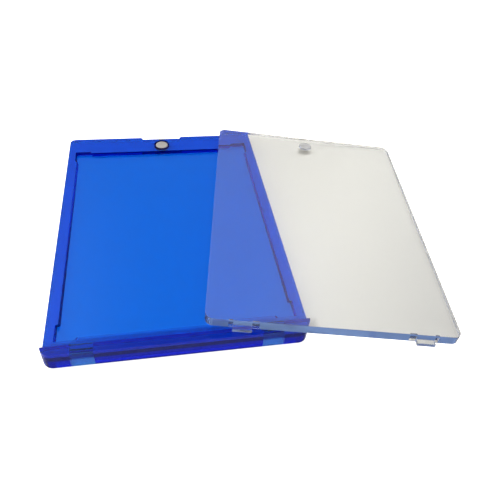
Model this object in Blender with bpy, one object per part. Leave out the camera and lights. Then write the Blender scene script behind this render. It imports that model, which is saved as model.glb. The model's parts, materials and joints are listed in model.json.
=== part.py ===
"""Magnetic card case, lying open: a blue tray, a clear lid and two disc magnets.

The tray holds one collector card in a shallow recess. Its near end carries a full-height wall
with two slots. The lid hooks its two tabs into those slots and swings down onto the rim, where
the lid's magnet meets the tray's magnet. Here the lid is unhooked and leans across the tray's
right side: on the end wall, on the far rim and on the table.

Units are metres, +Z is up, +Y points away from the end wall, and the origin is the centre of
the tray's underside.
"""

import math

import bmesh
import bpy
from mathutils import Matrix, Vector

MM = 0.001

# Closed case, outside
CASE_WIDTH = 75.0 * MM
CASE_LENGTH = 111.0 * MM
CASE_HEIGHT = 6.0 * MM
GAP = 0.3 * MM

# Tray
RIM_HEIGHT = 3.0 * MM
WALL_THICKNESS = 3.0 * MM
FAR_CORNER_RADIUS = 2.3 * MM
NEAR_CORNER_RADIUS = 3.2 * MM
SIDE_RIM = 3.5 * MM
FAR_RIM = 10.5 * MM
NEAR_STRIP = 4.4 * MM
RECESS_DEPTH = 1.4 * MM
RECESS_DRAFT = 0.4 * MM
RELIEF_OUT = 0.8 * MM
RELIEF_LENGTH = 5.3 * MM
FINGER_NOTCH_WIDTH = 15.4 * MM
FINGER_NOTCH_DEPTH = 1.4 * MM

# Slots in the end wall and the tabs that hook into them
SLOT_OFFSET = 26.7 * MM
SLOT_WIDTH = 6.2 * MM
SLOT_SKIN = 1.2 * MM
SLOT_BAR = 1.1 * MM
SLOT_FOOT = 0.2 * MM
TAB_WIDTH = 5.5 * MM
TAB_LENGTH = 1.6 * MM
TAB_THICKNESS = 1.1 * MM
TAB_RELIEF_INNER = 2.1 * MM
TAB_RELIEF_OUTER = 1.2 * MM
TAB_RELIEF_DEPTH = 0.8 * MM
TAB_RELIEF_HEIGHT = 1.3 * MM

# Lid
LID_WIDTH = CASE_WIDTH - 0.2 * MM
LID_THICKNESS = CASE_HEIGHT - RIM_HEIGHT
LID_LENGTH = CASE_LENGTH - WALL_THICKNESS - GAP
LID_CORNER_RADIUS = 2.6 * MM
LEDGE_WIDTH = 14.4 * MM
LEDGE_REACH = 0.8 * MM
LEDGE_STEP_BACK = 1.5 * MM
LEDGE_HEIGHT = 2.4 * MM

# Magnets
MAGNET_RADIUS = 2.5 * MM
MAGNET_FROM_FAR_EDGE = 5.6 * MM
MAGNET_CLEARANCE = 0.2 * MM
TRAY_MAGNET_THICKNESS = 2.0 * MM
TRAY_MAGNET_SINK = 0.1 * MM
LID_MAGNET_THICKNESS = 1.6 * MM
LID_MAGNET_SINK = 0.1 * MM
MAGNET_EDGE = 0.15 * MM

# Where the unhooked lid lies
LID_CENTRE = (52.75 * MM, -5.41 * MM)
LID_TURN = math.radians(-9.912)
TABLE_CLEARANCE = 0.05 * MM
FAR_CONTACT_INSET = 2.0 * MM

# Mesh fineness
CORNER_STEPS = 8
DISC_SIDES = 48
EDGE_BREAK = 0.2 * MM
CUT_MARGIN = 2.0 * MM

HALF_WIDTH = CASE_WIDTH / 2
HALF_LENGTH = CASE_LENGTH / 2
WALL_BACK = -HALF_LENGTH + WALL_THICKNESS
HINGE_BACK = TAB_LENGTH / 2
HINGE_RISE = TAB_THICKNESS / 2


def clear_scene():
    for old in list(bpy.data.objects):
        bpy.data.objects.remove(old, do_unlink=True)


def plastic(name, colour, alpha):
    """Glossy moulded plastic, see-through when alpha is low."""
    material = bpy.data.materials.new(name)
    material.use_nodes = True
    shader = material.node_tree.nodes["Principled BSDF"]
    shader.inputs["Base Color"].default_value = (*colour, 1.0)
    shader.inputs["Roughness"].default_value = 0.06
    shader.inputs["IOR"].default_value = 1.53
    shader.inputs["Transmission Weight"].default_value = 1.0 - alpha
    material.diffuse_color = (*colour, 1.0)
    return material


def nickel(name):
    """Nickel plating on the magnets."""
    material = bpy.data.materials.new(name)
    material.use_nodes = True
    shader = material.node_tree.nodes["Principled BSDF"]
    shader.inputs["Base Color"].default_value = (0.66, 0.63, 0.60, 1.0)
    shader.inputs["Metallic"].default_value = 1.0
    shader.inputs["Roughness"].default_value = 0.28
    material.diffuse_color = (0.66, 0.63, 0.60, 1.0)
    return material


def arc(centre, radius, start, end, steps):
    """Points along an arc, angles in degrees, both ends included."""
    points = []
    for i in range(steps + 1):
        angle = math.radians(start + (end - start) * i / steps)
        points.append((centre[0] + radius * math.cos(angle), centre[1] + radius * math.sin(angle)))
    return points


def mirrored(right_half):
    """Close a counter-clockwise outline from its right half, which runs from -Y to +Y."""
    return right_half + [(-x, y) for x, y in reversed(right_half)]


def object_from(name, shape, material=None, parent=None):
    """Make an object from a bmesh, which is freed."""
    mesh = bpy.data.meshes.new(name)
    bmesh.ops.recalc_face_normals(shape, faces=shape.faces)
    shape.to_mesh(mesh)
    shape.free()
    made = bpy.data.objects.new(name, mesh)
    bpy.context.scene.collection.objects.link(made)
    if material:
        mesh.materials.append(material)
    made.parent = parent
    return made


def loft(low_outline, low, high_outline, high, offset=(0.0, 0.0, 0.0)):
    """A bmesh between two outlines with matching corners, from height low to height high."""
    shape = bmesh.new()
    bottom = [shape.verts.new((x, y, low)) for x, y in low_outline]
    top = [shape.verts.new((x, y, high)) for x, y in high_outline]
    shape.faces.new(bottom)
    shape.faces.new(top)
    for i in range(len(bottom)):
        shape.faces.new((bottom[i - 1], bottom[i], top[i], top[i - 1]))
    bmesh.ops.translate(shape, verts=shape.verts, vec=offset)
    return shape


def prism(outline, low, high, offset=(0.0, 0.0, 0.0)):
    return loft(outline, low, outline, high, offset)


def box(x_range, y_range, z_range, offset=(0.0, 0.0, 0.0)):
    outline = [
        (x_range[0], y_range[0]),
        (x_range[1], y_range[0]),
        (x_range[1], y_range[1]),
        (x_range[0], y_range[1]),
    ]
    return prism(outline, z_range[0], z_range[1], offset)


def disc(radius, centre, low, high, offset=(0.0, 0.0, 0.0)):
    outline = arc(centre, radius, 0.0, 360.0, DISC_SIDES)[:-1]
    return prism(outline, low, high, offset)


def boolean(target, name, shape, operation="DIFFERENCE"):
    """Add a hidden helper shape to the target's stack of Boolean modifiers."""
    helper = object_from(name, shape, parent=target.parent)
    helper.hide_render = True
    helper.display_type = "WIRE"
    step = target.modifiers.new(name, "BOOLEAN")
    step.operation = operation
    step.solver = "EXACT"
    step.object = helper


def break_edges(target, width):
    """A small chamfer on every sharp edge, as a mould leaves it."""
    step = target.modifiers.new("edge_break", "BEVEL")
    step.width = width
    step.segments = 1
    step.limit_method = "ANGLE"
    step.angle_limit = math.radians(50.0)
    step.use_clamp_overlap = True


def smooth_round_faces(target):
    target.data.shade_smooth()
    target.data.set_sharp_from_angle(angle=math.radians(30.0))


def tray_outline():
    near = NEAR_CORNER_RADIUS
    far = FAR_CORNER_RADIUS
    right = arc((HALF_WIDTH - near, -HALF_LENGTH + near), near, -90, 0, CORNER_STEPS)
    right += arc((HALF_WIDTH - far, HALF_LENGTH - far), far, 0, 90, CORNER_STEPS)
    notch_x = FINGER_NOTCH_WIDTH / 2
    notch_y = HALF_LENGTH - FINGER_NOTCH_DEPTH
    right += [(notch_x + FINGER_NOTCH_DEPTH / 2, HALF_LENGTH), (notch_x, notch_y)]
    return mirrored(right)


def recess_outline(inset):
    """The card's recess, with a shallow relief around each corner so card corners stay sharp."""
    x = HALF_WIDTH - SIDE_RIM - inset
    near = WALL_BACK + NEAR_STRIP + inset
    far = HALF_LENGTH - FAR_RIM - inset
    out = RELIEF_OUT
    along = RELIEF_LENGTH
    right = [
        (x - along, near),
        (x - along + out, near - out),
        (x + out, near - out),
        (x + out, near + along - out),
        (x, near + along),
        (x, far - along),
        (x + out, far - along + out),
        (x + out, far + out),
        (x - along + out, far + out),
        (x - along, far),
    ]
    return mirrored(right)


def build_tray(material):
    tray = object_from("tray", prism(tray_outline(), 0.0, CASE_HEIGHT), material)
    margin = CUT_MARGIN
    above_rim = box(
        (-HALF_WIDTH - margin, HALF_WIDTH + margin),
        (WALL_BACK, HALF_LENGTH + margin),
        (RIM_HEIGHT, CASE_HEIGHT + margin),
    )
    boolean(tray, "cut_above_rim", above_rim)
    recess = loft(
        recess_outline(RECESS_DRAFT),
        RIM_HEIGHT - RECESS_DEPTH,
        recess_outline(-RECESS_DRAFT * margin / RECESS_DEPTH),
        RIM_HEIGHT + margin,
    )
    boolean(tray, "cut_card_recess", recess)
    pocket_floor = RIM_HEIGHT - TRAY_MAGNET_SINK - TRAY_MAGNET_THICKNESS - MAGNET_CLEARANCE
    pocket = disc(
        MAGNET_RADIUS + MAGNET_CLEARANCE,
        (0.0, HALF_LENGTH - MAGNET_FROM_FAR_EDGE),
        pocket_floor,
        RIM_HEIGHT + margin,
    )
    boolean(tray, "cut_magnet_pocket", pocket)
    for side in (-1, 1):
        middle = side * SLOT_OFFSET
        slot = box(
            (middle - SLOT_WIDTH / 2, middle + SLOT_WIDTH / 2),
            (-HALF_LENGTH + SLOT_SKIN, WALL_BACK + SLOT_FOOT),
            (-margin, CASE_HEIGHT - SLOT_BAR),
        )
        boolean(tray, f"cut_slot_{'left' if side < 0 else 'right'}", slot)
    break_edges(tray, EDGE_BREAK)
    return tray


def magnet_at(name, centre, low, thickness, material, parent=None, offset=(0.0, 0.0, 0.0)):
    magnet = object_from(
        name,
        disc(MAGNET_RADIUS, centre, low, low + thickness, offset),
        material,
        parent,
    )
    break_edges(magnet, MAGNET_EDGE)
    smooth_round_faces(magnet)
    return magnet


def lid_outline():
    """The lid's outline about its own centre, with a thumb ledge at the magnet end."""
    half_x = LID_WIDTH / 2
    half_y = LID_LENGTH / 2
    corner = LID_CORNER_RADIUS
    right = arc((half_x - corner, -half_y + corner), corner, -90, 0, CORNER_STEPS)
    right += arc((half_x - corner, half_y - corner), corner, 0, 90, CORNER_STEPS)
    right += [(LEDGE_WIDTH / 2, half_y), (LEDGE_WIDTH / 2, half_y + LEDGE_REACH)]
    return mirrored(right)


def lid_frame():
    """Where the lid's own frame lies: its origin is the centre of the lid's underside.

    The lid rests on three points: the end wall's right end, the far rim and the table.
    """
    heading = Vector((math.cos(LID_TURN), math.sin(LID_TURN), 0.0))
    across = Vector((-heading.y, heading.x, 0.0))
    middle = Vector((*LID_CENTRE, 0.0))
    inset = LID_CORNER_RADIUS * (1.0 - math.sqrt(0.5))
    on_wall = Vector((HALF_WIDTH, WALL_BACK, CASE_HEIGHT + GAP))
    on_rim = Vector((HALF_WIDTH, HALF_LENGTH - FAR_CONTACT_INSET, RIM_HEIGHT + GAP))
    on_table = middle + heading * (LID_WIDTH / 2 - inset) + across * (LID_LENGTH / 2 - inset)
    on_table.z = TABLE_CLEARANCE
    normal = (on_table - on_wall).cross(on_rim - on_wall).normalized()
    rise = (on_wall - middle).dot(normal) / normal.z
    side = (heading - normal * heading.dot(normal)).normalized()
    forward = normal.cross(side)
    turned = Matrix((side, forward, normal)).transposed().to_4x4()
    return Matrix.Translation(middle + Vector((0.0, 0.0, rise))) @ turned


def build_lid(material, magnet_material):
    """The lid and its magnet hang from an empty on the tabs' line, about which the lid swings."""
    hinge = Vector((0.0, -LID_LENGTH / 2 - HINGE_BACK, HINGE_RISE))
    pivot = bpy.data.objects.new("lid_pivot", None)
    bpy.context.scene.collection.objects.link(pivot)
    pivot.matrix_world = lid_frame() @ Matrix.Translation(hinge)
    offset = -hinge
    margin = CUT_MARGIN
    half_y = LID_LENGTH / 2

    lid = object_from("lid", prism(lid_outline(), 0.0, LID_THICKNESS, offset), material, pivot)
    for side in (-1, 1):
        hand = "left" if side < 0 else "right"
        inner = SLOT_OFFSET - TAB_WIDTH / 2
        outer = SLOT_OFFSET + TAB_WIDTH / 2
        reliefs = {"inner": (inner - TAB_RELIEF_INNER, inner), "outer": (outer, outer + TAB_RELIEF_OUTER)}
        for place, ends in reliefs.items():
            relief = box(
                sorted(side * end for end in ends),
                (-half_y - margin, -half_y + TAB_RELIEF_DEPTH),
                (-margin, TAB_RELIEF_HEIGHT),
                offset,
            )
            boolean(lid, f"cut_{place}_relief_{hand}", relief)
        tab = box(
            sorted((side * inner, side * outer)),
            (-half_y - TAB_LENGTH, -half_y + TAB_RELIEF_DEPTH),
            (0.0, TAB_THICKNESS),
            offset,
        )
        boolean(lid, f"add_tab_{hand}", tab, "UNION")
    above_ledge = box(
        (-LEDGE_WIDTH / 2, LEDGE_WIDTH / 2),
        (half_y - LEDGE_STEP_BACK, half_y + margin),
        (LEDGE_HEIGHT, LID_THICKNESS + margin),
        offset,
    )
    boolean(lid, "cut_above_ledge", above_ledge)
    magnet_y = half_y - MAGNET_FROM_FAR_EDGE
    pocket = disc(
        MAGNET_RADIUS + MAGNET_CLEARANCE,
        (0.0, magnet_y),
        -margin,
        LID_MAGNET_SINK + LID_MAGNET_THICKNESS + MAGNET_CLEARANCE,
        offset,
    )
    boolean(lid, "cut_lid_magnet_pocket", pocket)
    break_edges(lid, EDGE_BREAK)

    magnet_at(
        "lid_magnet",
        (0.0, magnet_y),
        LID_MAGNET_SINK,
        LID_MAGNET_THICKNESS,
        magnet_material,
        pivot,
        offset,
    )


def main():
    clear_scene()
    blue = plastic("blue_plastic", (0.012, 0.07, 0.62), 0.4)
    clear = plastic("clear_plastic", (0.80, 0.88, 0.95), 0.2)
    build_tray(blue)
    magnet_at(
        "tray_magnet",
        (0.0, HALF_LENGTH - MAGNET_FROM_FAR_EDGE),
        RIM_HEIGHT - TRAY_MAGNET_SINK - TRAY_MAGNET_THICKNESS,
        TRAY_MAGNET_THICKNESS,
        nickel("tray_magnet_nickel"),
    )
    build_lid(clear, nickel("lid_magnet_nickel"))


main()
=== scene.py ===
"""Looks of the magnetic card case: a blue tray and a clear lid in polished plastic, and two magnets.

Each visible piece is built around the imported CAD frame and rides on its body. Lengths are metres.
"""

import json
import math

import bmesh
import bpy
from mathutils import Matrix, Vector


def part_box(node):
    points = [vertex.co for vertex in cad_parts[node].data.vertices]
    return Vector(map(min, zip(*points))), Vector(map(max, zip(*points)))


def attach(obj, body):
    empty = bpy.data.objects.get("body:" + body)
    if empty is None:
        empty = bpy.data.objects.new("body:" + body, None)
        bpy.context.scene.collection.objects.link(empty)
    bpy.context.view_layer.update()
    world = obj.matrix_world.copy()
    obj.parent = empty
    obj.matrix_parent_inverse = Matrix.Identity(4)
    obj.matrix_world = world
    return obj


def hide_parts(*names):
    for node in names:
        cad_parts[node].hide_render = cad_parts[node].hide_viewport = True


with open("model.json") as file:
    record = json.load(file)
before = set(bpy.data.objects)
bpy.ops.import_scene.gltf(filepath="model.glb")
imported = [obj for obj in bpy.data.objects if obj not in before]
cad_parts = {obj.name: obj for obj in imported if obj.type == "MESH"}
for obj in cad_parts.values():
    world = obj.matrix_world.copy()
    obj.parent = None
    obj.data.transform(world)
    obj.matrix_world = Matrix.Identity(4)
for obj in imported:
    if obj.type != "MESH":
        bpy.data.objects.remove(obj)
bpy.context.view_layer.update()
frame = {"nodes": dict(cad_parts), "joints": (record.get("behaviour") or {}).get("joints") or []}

MM = 0.001

# The tray's outside comes from the frame; its inside is measured from these values
TRAY_LOW, TRAY_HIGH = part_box("tray")
HALF_WIDTH = TRAY_HIGH.x
HALF_LENGTH = TRAY_HIGH.y
CASE_HEIGHT = TRAY_HIGH.z
RIM_HEIGHT = 3.0 * MM
WALL_BACK = -HALF_LENGTH + 3.0 * MM
FAR_CORNER_RADIUS = 2.3 * MM
NEAR_CORNER_RADIUS = 3.2 * MM
RECESS_HALF_WIDTH = HALF_WIDTH - 3.5 * MM
RECESS_FAR = HALF_LENGTH - 10.5 * MM
RECESS_NEAR = WALL_BACK + 4.4 * MM
RECESS_DEPTH = 1.4 * MM
RECESS_DRAFT = 0.4 * MM
RELIEF_OUT = 0.8 * MM
RELIEF_LENGTH = 5.3 * MM
RELIEF_CHAMFER = 0.3 * MM
NOTCH_HALF_WIDTH = 7.7 * MM
NOTCH_DEPTH = 1.4 * MM
SLOT_OFFSET = 26.7 * MM
SLOT_HALF_WIDTH = 3.1 * MM
SLOT_SKIN = 1.2 * MM
SLOT_BAR = 1.1 * MM
SLOT_FOOT = 0.2 * MM
POCKET_RADIUS = 2.58 * MM
TRAY_POCKET_RADIUS = 3.1 * MM
POCKET_FLOOR = 0.7 * MM
MAGNET_FROM_FAR_EDGE = 5.6 * MM

# The lid, in its own frame: the centre of its underside, +Y towards its magnet
LID_HALF_WIDTH = HALF_WIDTH - 0.1 * MM
LID_HALF_LENGTH = (2 * HALF_LENGTH - 3.3 * MM) / 2
LID_THICKNESS = CASE_HEIGHT - RIM_HEIGHT
LID_CORNER_RADIUS = 2.6 * MM
TAB_HALF_WIDTH = 2.75 * MM
TAB_LENGTH = 1.6 * MM
TAB_THICKNESS = 1.1 * MM
TAB_RELIEF_INNER = 2.1 * MM
TAB_RELIEF_OUTER = 1.2 * MM
TAB_RELIEF_DEPTH = 0.8 * MM
TAB_RELIEF_HEIGHTS = (0.3 * MM, 2.3 * MM)
LEDGE_HALF_WIDTH = 7.2 * MM
LEDGE_REACH = 0.8 * MM
LEDGE_STEP_BACK = 1.5 * MM
LEDGE_HEIGHT = 2.4 * MM
LID_POCKET_TOP = 1.78 * MM
HINGE_BACK = TAB_LENGTH / 2
HINGE_RISE = TAB_THICKNESS / 2

# Magnets; the tray's takes its size from the frame
MAGNET_EDGE = 0.22 * MM
LID_MAGNET_RADIUS = 2.5 * MM
LID_MAGNET_LOW = 0.1 * MM
LID_MAGNET_HIGH = 1.7 * MM

# Fineness
CORNER_STEPS = 16
DISC_SIDES = 96
MAGNET_EDGE_STEPS = 5
EDGE_RADIUS = 0.22 * MM
EDGE_SEGMENTS = 3
FLAT_ANGLE = math.radians(0.5)
SHARP_ANGLE = math.radians(40.0)
MERGE_DISTANCE = 0.001 * MM

# How far a cutter reaches past the part
MARGIN = 2.0 * MM


# ---------------------------------------------------------------- shapes


def arc(centre, radius, start, end, steps):
    """Points from one angle to another, in degrees."""
    points = []
    for i in range(steps + 1):
        angle = math.radians(start + (end - start) * i / steps)
        points.append((centre[0] + radius * math.cos(angle), centre[1] + radius * math.sin(angle)))
    return points


def mirrored(right_half):
    """A whole outline from its right half."""
    return right_half + [(-x, y) for x, y in reversed(right_half)]


def loft(low_outline, low, high_outline, high):
    """A closed shape between two outlines with matching corners."""
    shape = bmesh.new()
    bottom = [shape.verts.new((x, y, low)) for x, y in low_outline]
    top = [shape.verts.new((x, y, high)) for x, y in high_outline]
    shape.faces.new(bottom)
    shape.faces.new(top)
    for i in range(len(bottom)):
        shape.faces.new((bottom[i - 1], bottom[i], top[i], top[i - 1]))
    bmesh.ops.recalc_face_normals(shape, faces=shape.faces)
    return shape


def prism(outline, low, high):
    return loft(outline, low, outline, high)


def box(x_range, y_range, z_range):
    outline = [(x_range[0], y_range[0]), (x_range[1], y_range[0])]
    outline += [(x_range[1], y_range[1]), (x_range[0], y_range[1])]
    return prism(outline, *z_range)


def disc(radius, centre, low, high):
    return prism(arc(centre, radius, 0.0, 360.0, DISC_SIDES)[:-1], low, high)


def new_object(name, shape):
    mesh = bpy.data.meshes.new(name)
    shape.to_mesh(mesh)
    shape.free()
    made = bpy.data.objects.new(name, mesh)
    bpy.context.scene.collection.objects.link(made)
    return made


def apply_modifiers(target):
    """Replace the mesh by what its modifiers make of it."""
    graph = bpy.context.evaluated_depsgraph_get()
    finished = bpy.data.meshes.new_from_object(target.evaluated_get(graph))
    target.modifiers.clear()
    target.data = finished


def combine(target, shape, operation="DIFFERENCE"):
    """Cut a shape from the target, or add it, and keep the result as plain mesh."""
    helper = new_object("helper", shape)
    step = target.modifiers.new("combine", "BOOLEAN")
    step.operation = operation
    step.solver = "EXACT"
    step.object = helper
    apply_modifiers(target)
    bpy.data.objects.remove(helper, do_unlink=True)


def round_edges(target):
    """Round every sharp edge as a polished mould does, and keep the flat faces flat."""
    shape = bmesh.new()
    shape.from_mesh(target.data)
    bmesh.ops.remove_doubles(shape, verts=shape.verts, dist=MERGE_DISTANCE)
    bmesh.ops.dissolve_limit(shape, angle_limit=FLAT_ANGLE, verts=shape.verts, edges=shape.edges)
    shape.to_mesh(target.data)
    shape.free()
    step = target.modifiers.new("round_edges", "BEVEL")
    step.width = EDGE_RADIUS
    step.segments = EDGE_SEGMENTS
    step.limit_method = "ANGLE"
    step.angle_limit = SHARP_ANGLE
    step.use_clamp_overlap = True
    step.harden_normals = True
    target.data.shade_smooth()
    apply_modifiers(target)


# ---------------------------------------------------------------- tray


def tray_outline():
    near = NEAR_CORNER_RADIUS
    far = FAR_CORNER_RADIUS
    right = arc((HALF_WIDTH - near, -HALF_LENGTH + near), near, -90, 0, CORNER_STEPS)
    right += arc((HALF_WIDTH - far, HALF_LENGTH - far), far, 0, 90, CORNER_STEPS)
    right += [(NOTCH_HALF_WIDTH + NOTCH_DEPTH / 2, HALF_LENGTH)]
    right += [(NOTCH_HALF_WIDTH, HALF_LENGTH - NOTCH_DEPTH)]
    return mirrored(right)


def recess_outline(inset):
    """The card recess with a relief at each corner, drawn in by the inset."""
    x = RECESS_HALF_WIDTH - inset
    near = RECESS_NEAR + inset
    far = RECESS_FAR - inset
    out = RELIEF_OUT
    slant = RELIEF_CHAMFER
    along = RELIEF_LENGTH
    right = [
        (x - along, near),
        (x - along + slant, near - out),
        (x + out, near - out),
        (x + out, near + along - slant),
        (x, near + along),
        (x, far - along),
        (x + out, far - along + slant),
        (x + out, far + out),
        (x - along + slant, far + out),
        (x - along, far),
    ]
    return mirrored(right)


def build_tray():
    tray = new_object("tray_body", prism(tray_outline(), 0.0, CASE_HEIGHT))
    wide = HALF_WIDTH + MARGIN
    top = CASE_HEIGHT + MARGIN
    combine(tray, box((-wide, wide), (WALL_BACK, HALF_LENGTH + MARGIN), (RIM_HEIGHT, top)))
    flare = RECESS_DRAFT * MARGIN / RECESS_DEPTH
    floor_outline = recess_outline(RECESS_DRAFT)
    floor_height = RIM_HEIGHT - RECESS_DEPTH
    combine(tray, loft(floor_outline, floor_height, recess_outline(-flare), RIM_HEIGHT + MARGIN))
    magnet_y = HALF_LENGTH - MAGNET_FROM_FAR_EDGE
    combine(tray, disc(TRAY_POCKET_RADIUS, (0.0, magnet_y), POCKET_FLOOR, top))
    for side in (-1, 1):
        middle = side * SLOT_OFFSET
        across = (middle - SLOT_HALF_WIDTH, middle + SLOT_HALF_WIDTH)
        along = (-HALF_LENGTH + SLOT_SKIN, WALL_BACK + SLOT_FOOT)
        combine(tray, box(across, along, (-MARGIN, CASE_HEIGHT - SLOT_BAR)))
    round_edges(tray)
    return tray


# ---------------------------------------------------------------- lid


def lid_outline():
    corner = LID_CORNER_RADIUS
    near = -LID_HALF_LENGTH
    far = LID_HALF_LENGTH
    right = arc((LID_HALF_WIDTH - corner, near + corner), corner, -90, 0, CORNER_STEPS)
    right += arc((LID_HALF_WIDTH - corner, far - corner), corner, 0, 90, CORNER_STEPS)
    right += [(LEDGE_HALF_WIDTH, far), (LEDGE_HALF_WIDTH, far + LEDGE_REACH)]
    return mirrored(right)


def build_lid():
    """The lid in its own frame."""
    lid = new_object("lid_cover", prism(lid_outline(), 0.0, LID_THICKNESS))
    near = -LID_HALF_LENGTH
    inner = SLOT_OFFSET - TAB_HALF_WIDTH
    outer = SLOT_OFFSET + TAB_HALF_WIDTH
    root = near + TAB_RELIEF_DEPTH
    for side in (-1, 1):
        for ends in ((inner - TAB_RELIEF_INNER, inner), (outer, outer + TAB_RELIEF_OUTER)):
            across = sorted(side * end for end in ends)
            combine(lid, box(across, (near - MARGIN, root), TAB_RELIEF_HEIGHTS))
        across = sorted((side * inner, side * outer))
        combine(lid, box(across, (near - TAB_LENGTH, root), (0.0, TAB_THICKNESS)), "UNION")
    step_back = LID_HALF_LENGTH - LEDGE_STEP_BACK
    above = (LEDGE_HEIGHT, LID_THICKNESS + MARGIN)
    reach = (step_back, LID_HALF_LENGTH + MARGIN)
    combine(lid, box((-LEDGE_HALF_WIDTH, LEDGE_HALF_WIDTH), reach, above))
    magnet_y = LID_HALF_LENGTH - MAGNET_FROM_FAR_EDGE
    combine(lid, disc(POCKET_RADIUS, (0.0, magnet_y), -MARGIN, LID_POCKET_TOP))
    round_edges(lid)
    return lid


def lid_frame():
    """The lid's own frame as it lies: its side axis is the hinge's, its normal its largest face's."""
    hinge = frame["joints"][0]
    side = Vector(hinge["axis"]).normalized()
    largest = max(frame["nodes"]["lid"].data.polygons, key=lambda face: face.area)
    normal = largest.normal.copy()
    if normal.z < 0.0:
        normal.negate()
    forward = normal.cross(side).normalized()
    turned = Matrix((side, forward, normal)).transposed().to_4x4()
    to_hinge = Vector((0.0, -LID_HALF_LENGTH - HINGE_BACK, HINGE_RISE))
    return Matrix.Translation(hinge["pos_m"]) @ turned @ Matrix.Translation(-to_hinge)


# ---------------------------------------------------------------- magnets


def turned_disc(name, radius, low, high):
    """A disc with rounded rims, spun from its half section about the Z axis."""
    edge = MAGNET_EDGE
    profile = [(0.0, low)]
    profile += arc((radius - edge, low + edge), edge, -90, 0, MAGNET_EDGE_STEPS)
    profile += arc((radius - edge, high - edge), edge, 0, 90, MAGNET_EDGE_STEPS)
    profile += [(0.0, high)]
    shape = bmesh.new()
    points = [shape.verts.new((r, 0.0, z)) for r, z in profile]
    edges = [shape.edges.new(pair) for pair in zip(points, points[1:])]
    bmesh.ops.spin(
        shape,
        geom=points + edges,
        cent=(0, 0, 0),
        axis=(0, 0, 1),
        angle=math.tau,
        steps=DISC_SIDES,
        use_merge=True,
    )
    bmesh.ops.remove_doubles(shape, verts=shape.verts, dist=MERGE_DISTANCE)
    bmesh.ops.recalc_face_normals(shape, faces=shape.faces)
    made = new_object(name, shape)
    made.data.shade_smooth()
    made.data.set_sharp_from_angle(angle=SHARP_ANGLE)
    return made


# ---------------------------------------------------------------- node trees


class Nodes:
    """A short way to build a node tree. An input takes a value or another node's output."""

    def __init__(self, tree):
        self.tree = tree
        self.tree.nodes.clear()

    def add(self, kind, inputs, **settings):
        node = self.tree.nodes.new("ShaderNode" + kind)
        for key, value in settings.items():
            setattr(node, key, value)
        for key, value in inputs.items():
            if isinstance(value, bpy.types.NodeSocket):
                self.tree.links.new(value, node.inputs[key])
            else:
                node.inputs[key].default_value = value
        return node

    def outputs(self, kind):
        """The outputs of a node that has nothing to set."""
        return self.add(kind, {}).outputs

    def parts(self, vector):
        """The X, Y and Z of a vector."""
        return self.add("SeparateXYZ", {0: vector}).outputs

    def math(self, operation, *terms, clamp=False):
        node = self.add("Math", dict(enumerate(terms)), operation=operation, use_clamp=clamp)
        return node.outputs["Value"]

    def product(self, first, *others):
        for other in others:
            first = self.math("MULTIPLY", first, other)
        return first

    def near(self, value, middle, reach):
        """1 where a value is within reach of the middle, 0 elsewhere."""
        return self.math("COMPARE", value, middle, reach)

    def measure(self, operation, first, second):
        """The distance or the dot product of two vectors."""
        node = self.add("VectorMath", {0: first, 1: tuple(second)}, operation=operation)
        return node.outputs["Value"]

    def ramp(self, value, start, end, low=0.0, high=1.0, smooth=False):
        """From low to high while the value goes from start to end, and level outside."""
        inputs = {"Value": value, "From Min": start, "From Max": end, "To Min": low, "To Max": high}
        kind = "SMOOTHSTEP" if smooth else "LINEAR"
        return self.add("MapRange", inputs, interpolation_type=kind).outputs["Result"]

    def blend(self, factor, first, second):
        node = self.add("Mix", {"Factor": factor, "A": first, "B": second}, data_type="FLOAT")
        return node.outputs["Result"]

    def blend_colours(self, factor, first, second):
        node = self.add("Mix", {"Factor": factor, "A": first, "B": second}, data_type="RGBA")
        return node.outputs["Result"]

    def noise(self, place, scale, detail, roughness=0.5):
        inputs = {"Vector": place, "Scale": scale, "Detail": detail, "Roughness": roughness}
        return self.add("TexNoise", inputs).outputs["Fac"]

    def bump(self, height, strength, distance, **under):
        inputs = {"Height": height, "Strength": strength, "Distance": distance, **under}
        return self.add("Bump", inputs).outputs["Normal"]

    def coat(self, share, under, colour):
        """A matt coat that covers a share of the shader under it."""
        over = self.add("BsdfDiffuse", {"Color": colour}).outputs["BSDF"]
        return self.add("MixShader", {0: share, 1: under, 2: over}).outputs["Shader"]


def opaque(colour):
    return (*colour, 1.0)


def new_material(name):
    """A material, and the nodes to build it from."""
    material = bpy.data.materials.new(name)
    material.use_nodes = True
    return material, Nodes(material.node_tree)


# ---------------------------------------------------------------- plastic

REFRACTION = 1.53

# A face counts as flat when the upright part of its normal passes from the first value to the second
FLAT_FROM = 0.5
FLAT_TO = 0.9

# Blue: tint of flat faces, a darker tint on the tray's upright ones that is painted shade, and
# absorption per millimetre
BLUE_TINT = opaque((0.02, 0.55, 1.0))
BLUE_SHADED_SIDE_TINT = opaque((0.0, 0.05, 0.62))
BLUE_ABSORPTION = (1.2, 0.204, 0.027)
# A dark navy coat on the walls of the tray's magnet pocket: painted shade
BLUE_POCKET_SHADE = opaque((0.005, 0.006, 0.12))

# Painted light: a matt coat on the tray's upright faces that stands in for light guided inside the
# plastic; its colour and share in the recess, on the wall, in the slots
RECESS_GUIDED_LIGHT = opaque((0.0, 0.02, 1.0))
WALL_GUIDED_LIGHT = opaque((0.10, 0.13, 1.0))
SLOT_GUIDED_LIGHT = opaque((1.0, 0.80, 0.80))
RECESS_GUIDED_LIGHT_SHARE = 0.125
WALL_GUIDED_LIGHT_SHARE = 0.25
SLOT_GUIDED_LIGHT_SHARE = 0.1375

# A faint glow low on the end wall's front, which stands in for light guided there inside the plastic:
# its colour, its colour in front of the slots, and the heights between which it grows
FRONT_GLOW = opaque((0.0, 0.0, 0.18))
SLOT_GLOW = opaque((0.03, 0.07, 0.20))
GLOW_STRENGTH = 1.25
GLOW_NONE_FROM = 3.4 * MM
GLOW_FULL_TO = 2.8 * MM

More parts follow.
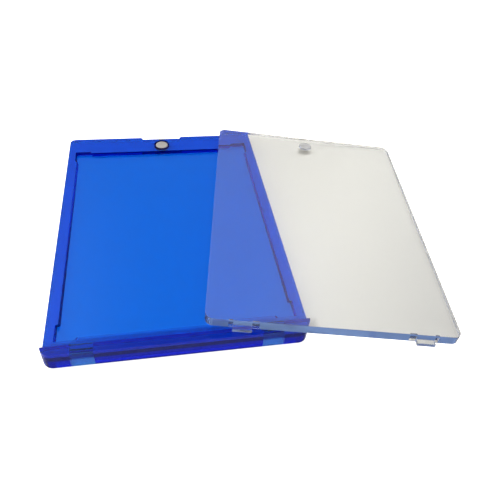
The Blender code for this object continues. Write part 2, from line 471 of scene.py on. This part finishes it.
# Where the end wall and its slots are, for the coats
WALL_COAT_STARTS = WALL_BACK + 2.5 * MM
WALL_COAT_FULL = WALL_BACK + 2.0 * MM
SLOT_COAT_REACH = SLOT_HALF_WIDTH + 0.1 * MM
SLOT_COAT_MIDDLE = -HALF_LENGTH + 2.35 * MM
SLOT_COAT_DEPTH = 1.3 * MM
FRONT_COAT_DEPTH = 0.3 * MM

# Clear: absorption per millimetre, share of dust, painted shade in the pocket, and painted shade and
# painted blue light on some of the lid's side faces
WHITE = opaque((1.0, 1.0, 1.0))
CLEAR_ABSORPTION = (0.0140, 0.0102, 0.0040)
CLEAR_DUST = 0.045
# A grey coat on the walls of the lid's magnet pocket: painted shade
CLEAR_POCKET_SHADE = opaque((0.80, 0.79, 0.78))
CLEAR_POCKET_SHADE_SHARE = 0.5
# The lid's right face and the faces behind its tab reliefs get a dark coat that is painted shade; its
# near face gets a light blue coat that is painted blue light
PAINTED_SHADE_COAT = opaque((0.06, 0.07, 0.16))
PAINTED_BLUE_LIGHT_COAT = opaque((0.25, 0.46, 1.0))
RIGHT_SHADE_SHARE = 0.3
RELIEF_SHADE_SHARE = 0.45
NEAR_BLUE_LIGHT_SHARE = 0.45
PAINTED_FACE_DEPTH = 0.2 * MM

# Painted pocket shade and the painted coats on the lid's side faces cover faces that are not flat, up
# to this share; the pocket shade stays near the pocket's middle
COAT_LIMIT = 0.95
POCKET_SHADE_REACH = 3.4 * MM
TRAY_POCKET_MIDDLE = Vector((0.0, HALF_LENGTH - MAGNET_FROM_FAR_EDGE, (POCKET_FLOOR + RIM_HEIGHT) / 2))
LID_MAGNET_Y = LID_HALF_LENGTH - MAGNET_FROM_FAR_EDGE
LID_POCKET_MIDDLE = Vector((0.0, LID_MAGNET_Y, LID_POCKET_TOP / 2))


def face_kind(nodes):
    """How flat a face is, and whether it is seen from outside."""
    geometry = nodes.outputs("NewGeometry")
    rise = nodes.math("ABSOLUTE", nodes.parts(geometry["True Normal"])["Z"])
    flat = nodes.ramp(rise, FLAT_FROM, FLAT_TO)
    outside = nodes.math("SUBTRACT", 1.0, geometry["Backfacing"])
    return flat, outside


def polished(nodes, place, colour, clear_share, glow):
    """Polished plastic with smudges, slow waves and hairline marks."""
    smudge = nodes.noise(place, scale=38.0, detail=5.0, roughness=0.6)
    wave = nodes.noise(place, scale=60.0, detail=2.0)
    stretched = nodes.add("Mapping", {"Vector": place, "Scale": (900.0, 60.0, 900.0)})
    hairline = nodes.noise(stretched.outputs["Vector"], scale=1.0, detail=3.0)
    soft = nodes.bump(wave, strength=0.04, distance=0.6 * MM)
    fine = nodes.bump(hairline, strength=0.02, distance=0.1 * MM, Normal=soft)
    inputs = {
        "Base Color": colour,
        "Roughness": nodes.ramp(smudge, 0.35, 0.75, low=0.0, high=0.045),
        "IOR": REFRACTION,
        "Transmission Weight": clear_share,
        "Normal": fine,
        **glow,
    }
    return nodes.add("BsdfPrincipled", inputs).outputs["BSDF"]


def depth_colour(nodes, absorption):
    """Light taken up on the way through, per millimetre of red, green and blue."""
    strongest = max(absorption)
    kept = [1.0 - part / strongest for part in absorption]
    inputs = {"Color": opaque(kept), "Density": strongest / MM}
    return nodes.add("VolumeAbsorption", inputs).outputs["Volume"]


def around(nodes, place, centre):
    """1 within reach of the middle of a magnet's pocket, 0 elsewhere."""
    return nodes.math("LESS_THAN", nodes.measure("DISTANCE", place, centre), POCKET_SHADE_REACH)


def blue_plastic():
    """Deep blue by thickness, with painted shade on upright faces and painted guided light over them,
    lit low on the front, with painted shade in the pocket.
    """
    material, nodes = new_material("blue_polished_plastic")
    place = nodes.outputs("TexCoord")["Object"]
    position = nodes.parts(place)
    flat, outside = face_kind(nodes)
    upright = nodes.product(nodes.math("SUBTRACT", 1.0, flat), outside)

    wall = nodes.ramp(position["Y"], WALL_COAT_STARTS, WALL_COAT_FULL)
    across = nodes.math("ABSOLUTE", position["X"])
    at_slot = nodes.near(across, SLOT_OFFSET, SLOT_COAT_REACH)
    in_slot = nodes.product(at_slot, nodes.near(position["Y"], SLOT_COAT_MIDDLE, SLOT_COAT_DEPTH))

    front = nodes.near(position["Y"], -HALF_LENGTH, FRONT_COAT_DEPTH)
    low = nodes.ramp(position["Z"], GLOW_NONE_FROM, GLOW_FULL_TO)
    glow = {
        "Emission Color": nodes.blend_colours(at_slot, FRONT_GLOW, SLOT_GLOW),
        "Emission Strength": nodes.product(front, low, upright, GLOW_STRENGTH),
    }
    # Upright faces away from the end wall take the darker tint: painted shade
    colour = nodes.blend_colours(nodes.math("MAXIMUM", flat, wall), BLUE_SHADED_SIDE_TINT, BLUE_TINT)
    body = polished(nodes, place, colour, 1.0, glow)

    # A matt coat of painted light on upright faces, standing in for light guided inside the plastic
    guided_light = nodes.blend_colours(wall, RECESS_GUIDED_LIGHT, WALL_GUIDED_LIGHT)
    guided_light = nodes.blend_colours(in_slot, guided_light, SLOT_GUIDED_LIGHT)
    share = nodes.blend(wall, RECESS_GUIDED_LIGHT_SHARE, WALL_GUIDED_LIGHT_SHARE)
    share = nodes.blend(in_slot, share, SLOT_GUIDED_LIGHT_SHARE)
    body = nodes.coat(nodes.product(upright, share), body, guided_light)

    # Painted shade: a dark coat on the pocket's walls round the magnet
    steep = nodes.math("SUBTRACT", COAT_LIMIT, flat, clamp=True)
    pocket_shade = nodes.product(around(nodes, place, TRAY_POCKET_MIDDLE), steep)
    body = nodes.coat(pocket_shade, body, BLUE_POCKET_SHADE)
    nodes.add("OutputMaterial", {"Surface": body, "Volume": depth_colour(nodes, BLUE_ABSORPTION)})
    return material


def clear_plastic(lid_place):
    """Clear and a little dusty, with painted shade in the pocket, and painted shade and painted blue
    light on some side faces.
    """
    material, nodes = new_material("clear_polished_plastic")
    place = nodes.outputs("TexCoord")["Object"]
    flat, outside = face_kind(nodes)
    clear_share = nodes.math("SUBTRACT", 1.0, nodes.product(outside, CLEAR_DUST))
    body = polished(nodes, place, WHITE, clear_share, glow={})

    # Painted shade: a grey coat on the pocket's walls round the lid's magnet
    steep = nodes.math("SUBTRACT", COAT_LIMIT, flat, clamp=True)
    pocket_shade = nodes.product(around(nodes, place, lid_place @ LID_POCKET_MIDDLE), steep, CLEAR_POCKET_SHADE_SHARE)
    body = nodes.coat(pocket_shade, body, CLEAR_POCKET_SHADE)

    side = lid_place.col[0].to_3d()
    forward = lid_place.col[1].to_3d()
    right_face = side.dot(lid_place.translation) + LID_HALF_WIDTH
    near_face = forward.dot(lid_place.translation) - LID_HALF_LENGTH
    # Painted shade on the right face and behind the tab reliefs, painted blue light on the near face
    painted_faces = (
        (side, right_face, RIGHT_SHADE_SHARE, PAINTED_SHADE_COAT),
        (forward, near_face + TAB_RELIEF_DEPTH, RELIEF_SHADE_SHARE, PAINTED_SHADE_COAT),
        (forward, near_face, NEAR_BLUE_LIGHT_SHARE, PAINTED_BLUE_LIGHT_COAT),
    )
    for direction, offset, share, colour in painted_faces:
        in_plane = nodes.near(nodes.measure("DOT_PRODUCT", place, direction), offset, PAINTED_FACE_DEPTH)
        body = nodes.coat(nodes.product(in_plane, steep, share), body, colour)
    nodes.add("OutputMaterial", {"Surface": body, "Volume": depth_colour(nodes, CLEAR_ABSORPTION)})
    return material


# ---------------------------------------------------------------- nickel and table

TRAY_NICKEL = (0.86, 0.82, 0.78)
TRAY_NICKEL_ROUGHNESS = 0.5
LID_NICKEL = (0.78, 0.765, 0.75)
LID_NICKEL_ROUGHNESS = 0.6
DULLED = 0.82

# The table's tone, which falls off towards the near right
TABLE_TONE = opaque((0.80, 0.773, 0.692))
TABLE_FAR_TONE = opaque((0.43, 0.415, 0.376))
TABLE_BLACK = opaque((0.0, 0.0, 0.0))
FALL_TOWARD = (0.80, -0.60, 0.0)
FALL_STARTS = 40.0 * MM
FALL_ENDS = 130.0 * MM

# The shade at the end wall's foot: in front of the wall, under it, and gone beside the tray
FRONT_SHADE_STARTS = -HALF_LENGTH - 10.5 * MM
FRONT_SHADE_FULL = -HALF_LENGTH - 0.5 * MM
FRONT_SHADE_TONE = 0.3
FRONT_SHADE_STOPS = (-HALF_LENGTH + 0.3 * MM, -HALF_LENGTH + 0.5 * MM)
UNDER_SHADE_FULL = WALL_BACK + 2.0 * MM
UNDER_SHADE_ENDS = WALL_BACK + 5.5 * MM
UNDER_SHADE_TONE = 0.68
BESIDE_STARTS = HALF_WIDTH - 1.5 * MM
BESIDE_FULL = HALF_WIDTH + 4.5 * MM


def nickel(name, colour, roughness):
    """Nickel plating with a fine grain and duller patches."""
    material, nodes = new_material(name)
    place = nodes.outputs("TexCoord")["Object"]
    grain = nodes.noise(place, scale=1400.0, detail=4.0)
    patch = nodes.noise(place, scale=320.0, detail=3.0)
    dulled = [part * DULLED for part in colour]
    inputs = {
        "Base Color": nodes.blend_colours(patch, opaque(colour), opaque(dulled)),
        "Metallic": 1.0,
        "Roughness": nodes.ramp(patch, 0.0, 1.0, low=roughness * 0.7, high=roughness * 1.4),
        "Normal": nodes.bump(grain, strength=0.12, distance=0.05 * MM),
    }
    surface = nodes.add("BsdfPrincipled", inputs).outputs["BSDF"]
    nodes.add("OutputMaterial", {"Surface": surface})
    return material


def table_shade(nodes, position):
    """1 on the open table, less at the end wall's foot."""
    ahead = position["Y"]
    beside = nodes.ramp(nodes.math("ABSOLUTE", position["X"]), BESIDE_STARTS, BESIDE_FULL)
    in_front = nodes.ramp(
        ahead, FRONT_SHADE_STARTS, FRONT_SHADE_FULL, low=1.0, high=FRONT_SHADE_TONE, smooth=True
    )
    in_front = nodes.math("MAXIMUM", in_front, nodes.ramp(ahead, *FRONT_SHADE_STOPS))
    in_front = nodes.math("MAXIMUM", in_front, beside)
    under = nodes.ramp(ahead, UNDER_SHADE_FULL, UNDER_SHADE_ENDS, low=UNDER_SHADE_TONE, smooth=True)
    under = nodes.math("MAXIMUM", under, beside)
    return nodes.product(in_front, under)


def table_paper():
    """Pale paper that falls off towards the near right and is overexposed to the camera."""
    material, nodes = new_material("white_table")
    place = nodes.outputs("TexCoord")["Object"]
    grain = nodes.noise(place, scale=900.0, detail=3.0)
    along = nodes.measure("DOT_PRODUCT", place, FALL_TOWARD)
    fall = nodes.ramp(along, FALL_STARTS, FALL_ENDS, smooth=True)
    tone = nodes.blend_colours(fall, TABLE_TONE, TABLE_FAR_TONE)
    inputs = {
        "Base Color": nodes.blend_colours(table_shade(nodes, nodes.parts(place)), TABLE_BLACK, tone),
        "Roughness": 0.9,
        "Specular IOR Level": 0.0,
        "Normal": nodes.bump(grain, strength=0.03, distance=0.1 * MM),
        "Emission Color": WHITE,
        "Emission Strength": nodes.outputs("LightPath")["Is Camera Ray"],
    }
    surface = nodes.add("BsdfPrincipled", inputs).outputs["BSDF"]
    nodes.add("OutputMaterial", {"Surface": surface})
    return material


# ---------------------------------------------------------------- assembly


def place_piece(piece, material, body, node):
    """Give a piece its material, let it ride on a body, and let it stand in for a CAD node."""
    piece.data.materials.clear()
    piece.data.materials.append(material)
    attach(piece, body)
    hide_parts(node)


lid_place = lid_frame()

tray_piece = build_tray()
place_piece(tray_piece, blue_plastic(), "tray", "tray")

lid_piece = build_lid()
lid_piece.data.transform(lid_place)
place_piece(lid_piece, clear_plastic(lid_place), "lid", "lid")

low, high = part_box("tray_magnet")
tray_magnet = turned_disc("tray_magnet_disc", (high.x - low.x) / 2, 0.0, high.z - low.z)
tray_magnet.location = ((low.x + high.x) / 2, (low.y + high.y) / 2, low.z)
tray_nickel = nickel("tray_nickel", TRAY_NICKEL, TRAY_NICKEL_ROUGHNESS)
place_piece(tray_magnet, tray_nickel, "tray", "tray_magnet")

lid_magnet = turned_disc("lid_magnet_disc", LID_MAGNET_RADIUS, LID_MAGNET_LOW, LID_MAGNET_HIGH)
lid_magnet.data.transform(lid_place @ Matrix.Translation((0.0, LID_MAGNET_Y, 0.0)))
lid_nickel = nickel("lid_nickel", LID_NICKEL, LID_NICKEL_ROUGHNESS)
place_piece(lid_magnet, lid_nickel, "lid", "lid_magnet")


# ---------------------------------------------------------------- table and camera

TABLE_HALF = 4.0
TABLE_THICKNESS = 10.0 * MM
TABLE_GAP = 0.05 * MM

CAMERA_HEADING = math.radians(14.05)
CAMERA_DROP = math.radians(43.574)
CAMERA_ROLL = math.radians(5.758)
CAMERA_PLACE = Vector((-4.094, -139.191, 121.810)) * MM
CAMERA_LENS = 36.411


def build_table():
    across = (-TABLE_HALF, TABLE_HALF)
    table = new_object("table_top", box(across, across, (-TABLE_THICKNESS - TABLE_GAP, -TABLE_GAP)))
    table.data.materials.append(table_paper())


def camera_axes():
    """Right, above and ahead of the camera, from its heading, its drop and its roll."""
    ahead = Vector(
        (
            math.sin(CAMERA_HEADING) * math.cos(CAMERA_DROP),
            math.cos(CAMERA_HEADING) * math.cos(CAMERA_DROP),
            -math.sin(CAMERA_DROP),
        )
    )
    level = Vector((math.cos(CAMERA_HEADING), -math.sin(CAMERA_HEADING), 0.0))
    above = level.cross(ahead)
    right = level * math.cos(CAMERA_ROLL) + above * math.sin(CAMERA_ROLL)
    return right, right.cross(ahead), ahead


def build_camera():
    right, above, ahead = camera_axes()
    data = bpy.data.cameras.new("camera")
    data.lens = CAMERA_LENS
    data.sensor_width = 36.0
    data.clip_start = 0.01
    data.clip_end = 20.0
    camera = bpy.data.objects.new("camera", data)
    bpy.context.scene.collection.objects.link(camera)
    turned = Matrix((right, above, -ahead)).transposed().to_4x4()
    camera.matrix_world = Matrix.Translation(CAMERA_PLACE) @ turned
    bpy.context.scene.camera = camera


# ---------------------------------------------------------------- light

# Each light is a soft patch of the sky: its direction, the cosines of the angles to it at which the
# patch starts and is full, and its strength
CEILING = ((0.0, 0.0, 1.0), 0.86, 0.96, 5.2)
LEFT_LIGHT = ((-0.9, 0.25, 0.45), 0.55, 0.9, 1.2)
RIGHT_LIGHT = ((0.9, 0.1, 0.40), 0.55, 0.9, 0.9)
BACK_LIGHT = ((-0.426, 0.609, 0.669), 0.90, 0.975, 0.2)
AMBIENT = 0.24

# What mirror reflections see of the ceiling, and what the camera sees of the sky
MIRRORED_CEILING = 0.2
BACKDROP = 1.05


def build_world():
    """A light tent: a bright ceiling, soft sides, a dim stretch behind, and white to the camera."""
    world = bpy.data.worlds.new("light_tent")
    bpy.context.scene.world = world
    world.use_nodes = True
    nodes = Nodes(world.node_tree)
    toward = nodes.outputs("TexCoord")["Generated"]
    ray = nodes.outputs("LightPath")

    def patch(direction, start, full, strength):
        cosine = nodes.measure("DOT_PRODUCT", toward, Vector(direction).normalized())
        return nodes.ramp(cosine, start, full, high=strength, smooth=True)

    mirrored_ray = nodes.product(ray["Is Reflection Ray"], ray["Is Glossy Ray"])
    dimmed = nodes.blend(mirrored_ray, 1.0, MIRRORED_CEILING)
    total = nodes.math("ADD", nodes.product(patch(*CEILING), dimmed), AMBIENT)
    for light in (LEFT_LIGHT, RIGHT_LIGHT, BACK_LIGHT):
        total = nodes.math("ADD", total, patch(*light))
    strength = nodes.blend(ray["Is Camera Ray"], total, BACKDROP)
    background = nodes.add("Background", {"Strength": strength}).outputs["Background"]
    nodes.add("OutputWorld", {"Surface": background})


def set_light_paths():
    """Enough bounces for light that is guided along inside the plastic."""
    cycles = bpy.context.scene.cycles
    cycles.blur_glossy = 0.0
    cycles.max_bounces = 64
    cycles.diffuse_bounces = 6
    cycles.glossy_bounces = 64
    cycles.transmission_bounces = 64


build_table()
build_world()
build_camera()
set_light_paths()
bpy.context.scene.view_settings.view_transform = "Standard"
